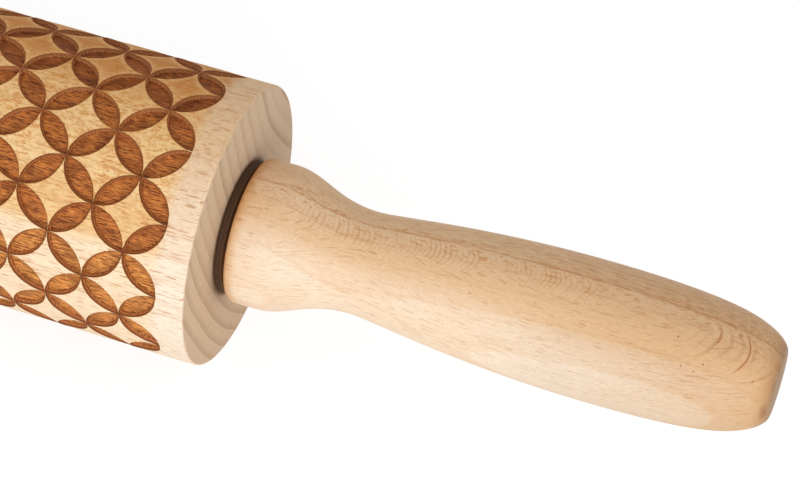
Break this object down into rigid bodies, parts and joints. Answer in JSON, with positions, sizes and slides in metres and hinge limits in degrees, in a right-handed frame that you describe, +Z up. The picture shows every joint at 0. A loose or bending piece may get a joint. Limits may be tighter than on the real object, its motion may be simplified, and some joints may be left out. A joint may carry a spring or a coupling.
{
  "type": "embossed rolling pin",
  "caption": "Beech rolling pin whose roller, carved all round with a lattice of petals, turns on a steel axle between two turned handles.",
  "frame": {"origin": "on the pin's axis at mid-length, which is the centre of the part's box", "axes": "+X along the pin's axis towards the right handle, +Z up, +Y away from the viewer"},
  "size_m": [0.4282, 0.055, 0.055],
  "materials": {
    "carved_beech": "untreated pale beech with petals burnt brown where they are cut",
    "turned_beech": "fine-sanded untreated beech",
    "black_nylon": "matt black moulded nylon",
    "axle_steel": "bright drawn steel rod",
    "washer_steel": "plain punched steel"
  },
  "bodies": {
    "handle_body": {"axle": "axle_steel", "right_handle": "turned_beech", "left_handle": "turned_beech", "right_washer": "washer_steel", "left_washer": "washer_steel"},
    "roller_body": {"roller": "carved_beech", "right_bush": "black_nylon", "left_bush": "black_nylon"}
  },
  "joints": [
    {"name": "roller_spin", "type": "hinge", "parent": "handle_body", "child": "roller_body", "pos_m": [0, 0, 0], "axis": [1, 0, 0], "continuous": true}
  ]
}
